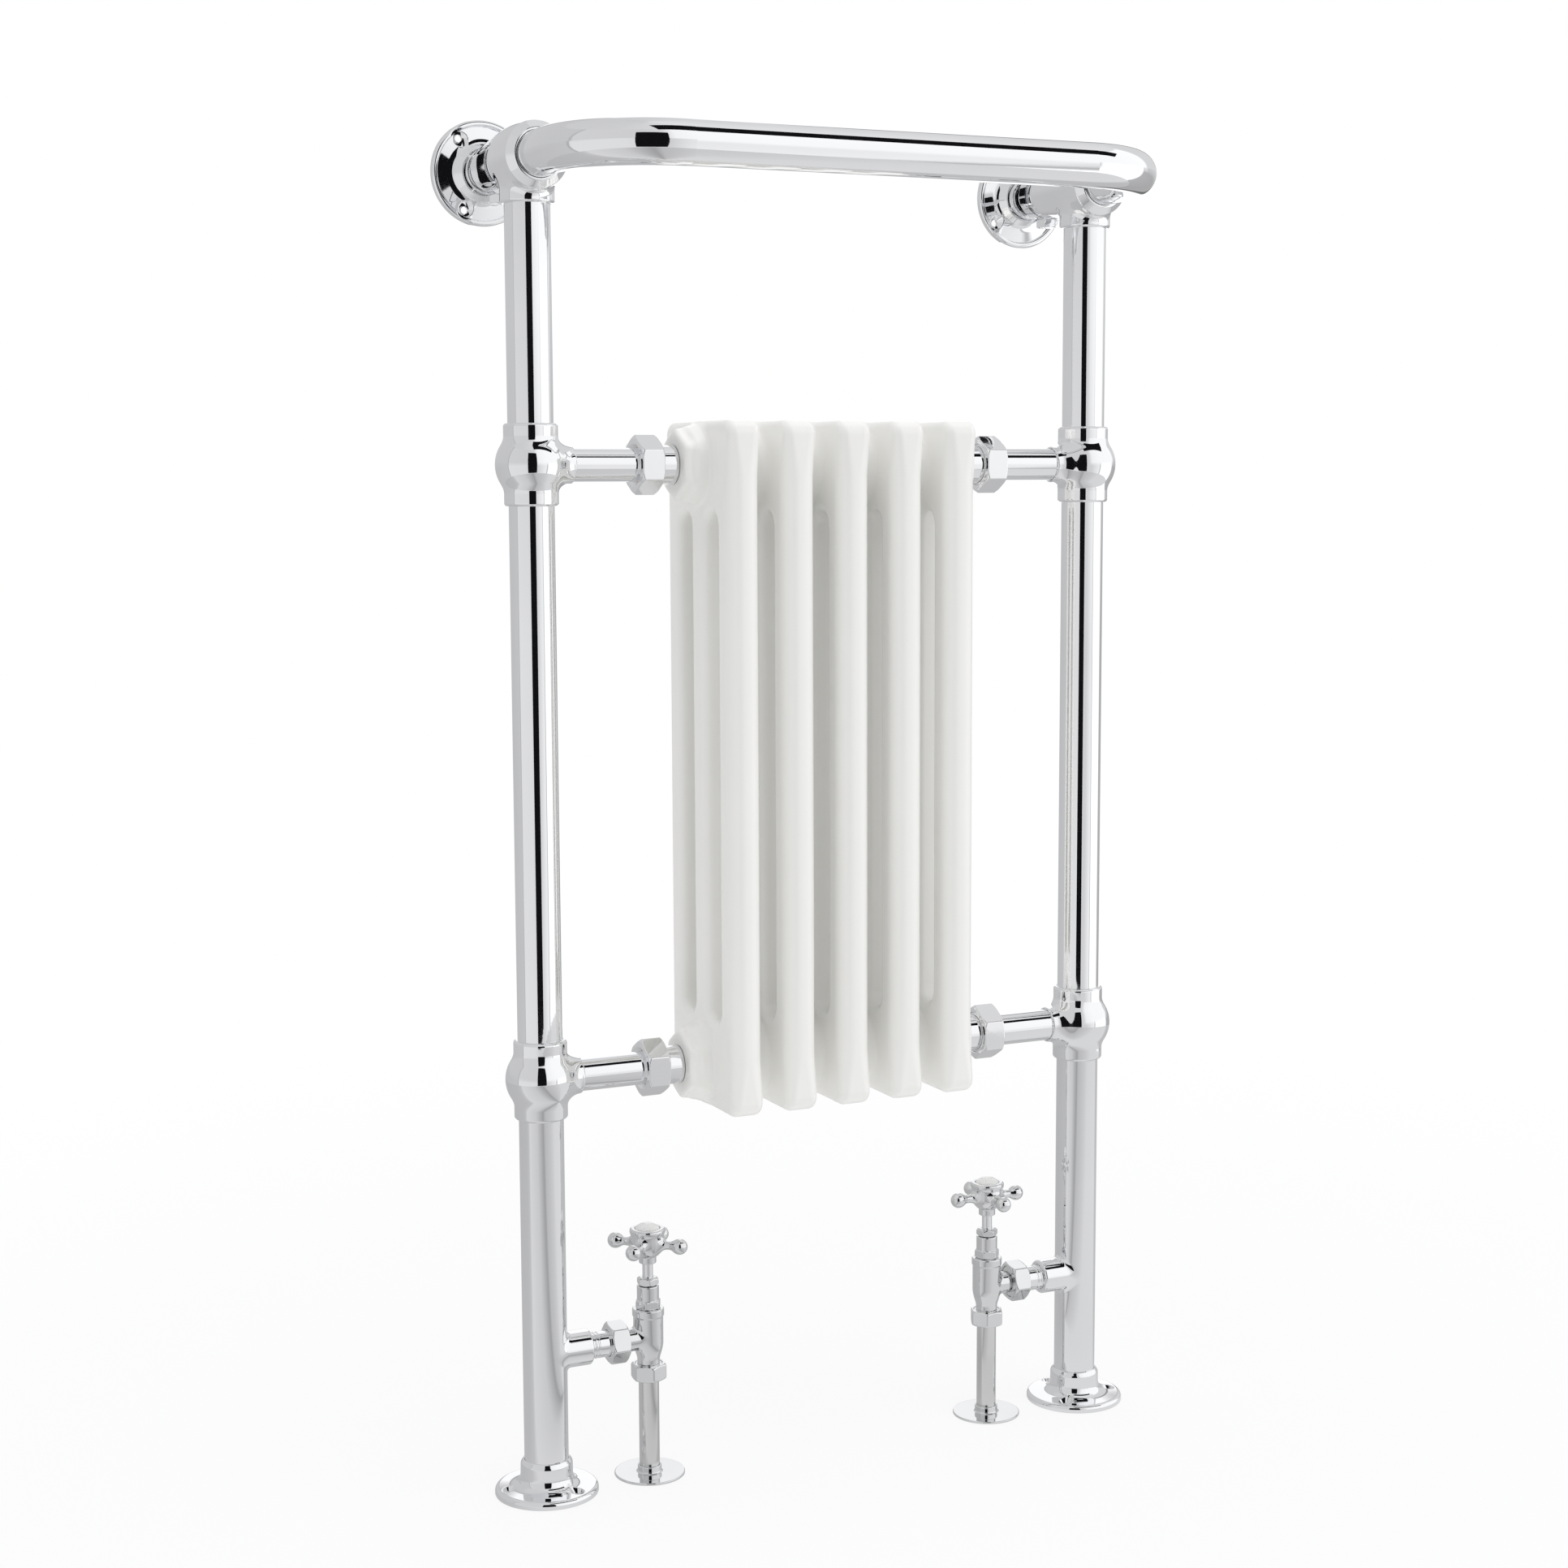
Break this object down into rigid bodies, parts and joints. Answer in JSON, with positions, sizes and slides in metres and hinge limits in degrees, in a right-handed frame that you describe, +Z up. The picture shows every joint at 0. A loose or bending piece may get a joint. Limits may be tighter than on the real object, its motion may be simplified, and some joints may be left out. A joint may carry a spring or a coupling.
{
  "type": "heated towel rail",
  "caption": "Floor-standing heated towel rail: plated tube frame with ball tees and wall flanges around a white column radiator, fed by angled valves with cross handles.",
  "frame": {"origin": "on the floor, midway between the posts and midway between the rail's front and the wall behind", "axes": "+Z up; +Y back towards the wall; +X to the right of a person facing the towel rail"},
  "size_m": [0.52, 0.235, 0.9845],
  "materials": {
    "chrome_plate": "polished chrome plate on brass and steel tube",
    "plated_pipe": "chrome-plated copper pipe, slightly duller than the fittings",
    "white_enamel": "satin-gloss white powder coat with soft edges",
    "glazed_cap": "plain pale glazed disc, no lettering",
    "bare_brass": "machined brass",
    "zinc_steel": "zinc-plated steel",
    "gasket_rubber": "black sealing rubber"
  },
  "bodies": {
    "frame": {"left_foot_flange": "chrome_plate", "right_foot_flange": "chrome_plate", "left_lower_post": "chrome_plate", "right_lower_post": "chrome_plate", "left_lower_ball_tee": "chrome_plate", "right_lower_ball_tee": "chrome_plate", "left_middle_post": "chrome_plate", "right_middle_post": "chrome_plate", "left_upper_ball_tee": "chrome_plate", "right_upper_ball_tee": "chrome_plate", "left_upper_post": "chrome_plate", "right_upper_post": "chrome_plate", "left_corner_tee": "chrome_plate", "right_corner_tee": "chrome_plate", "top_rail": "chrome_plate", "left_wall_flange": "chrome_plate", "right_wall_flange": "chrome_plate", "bracket_lock_bolts": "chrome_plate", "lower_left_cross_tube": "chrome_plate", "lower_right_cross_tube": "chrome_plate", "upper_left_cross_tube": "chrome_plate", "upper_right_cross_tube": "chrome_plate", "union_olives": "bare_brass", "union_nuts": "chrome_plate", "radiator_tails": "chrome_plate", "radiator_bushes": "white_enamel", "bush_gaskets": "gasket_rubber", "radiator_section_1": "white_enamel", "radiator_section_2": "white_enamel", "radiator_section_3": "white_enamel", "radiator_section_4": "white_enamel", "radiator_section_5": "white_enamel", "section_nipples": "zinc_steel", "section_gaskets": "gasket_rubber", "air_vent_plug": "chrome_plate", "left_valve_body": "chrome_plate", "right_valve_body": "chrome_plate", "valve_bonnets": "chrome_plate", "gland_nuts": "chrome_plate", "gland_packings": "gasket_rubber", "valve_tails": "chrome_plate", "valve_union_nuts": "chrome_plate", "compression_nuts": "chrome_plate", "compression_olives": "bare_brass", "left_supply_pipe": "plated_pipe", "right_supply_pipe": "plated_pipe"},
    "left_valve_stem": {"left_jumper": "bare_brass"},
    "left_valve_handle": {"left_handle": "chrome_plate", "left_handle_cap": "glazed_cap", "left_handle_screw": "zinc_steel", "left_spindle": "chrome_plate"},
    "left_floor_cover": {"left_floor_plate": "chrome_plate"},
    "right_valve_stem": {"right_jumper": "bare_brass"},
    "right_valve_handle": {"right_handle": "chrome_plate", "right_handle_cap": "glazed_cap", "right_handle_screw": "zinc_steel", "right_spindle": "chrome_plate"},
    "right_floor_cover": {"right_floor_plate": "chrome_plate"},
    "vent_screw": {"air_vent_screw": "bare_brass"}
  },
  "joints": [
    {"name": "left_valve_lift", "type": "slide", "parent": "frame", "child": "left_valve_stem", "axis": [0, 0, 1], "range_m": [0, 0.004]},
    {"name": "left_valve_turn", "type": "hinge", "parent": "left_valve_stem", "child": "left_valve_handle", "pos_m": [-0.1422, 0.016, 0.15], "axis": [0, 0, 1], "range_deg": [0, 720]},
    {"name": "left_cover_slide", "type": "slide", "parent": "frame", "child": "left_floor_cover", "axis": [0, 0, 1], "range_m": [0, 0.064]},
    {"name": "right_valve_lift", "type": "slide", "parent": "frame", "child": "right_valve_stem", "axis": [0, 0, 1], "range_m": [0, 0.004]},
    {"name": "right_valve_turn", "type": "hinge", "parent": "right_valve_stem", "child": "right_valve_handle", "pos_m": [0.1422, 0.016, 0.15], "axis": [0, 0, 1], "range_deg": [0, 720]},
    {"name": "right_cover_slide", "type": "slide", "parent": "frame", "child": "right_floor_cover", "axis": [0, 0, 1], "range_m": [0, 0.064]},
    {"name": "vent_screw_turn", "type": "hinge", "parent": "frame", "child": "vent_screw", "pos_m": [-0.2225, 0.045, 0.739], "axis": [0, 1, 0], "range_deg": [0, 360]}
  ],
  "couplings": [
    {"joint": "left_valve_turn", "follows": "left_valve_lift", "rad_per_m": 3141.6},
    {"joint": "right_valve_turn", "follows": "right_valve_lift", "rad_per_m": 3141.6}
  ]
}
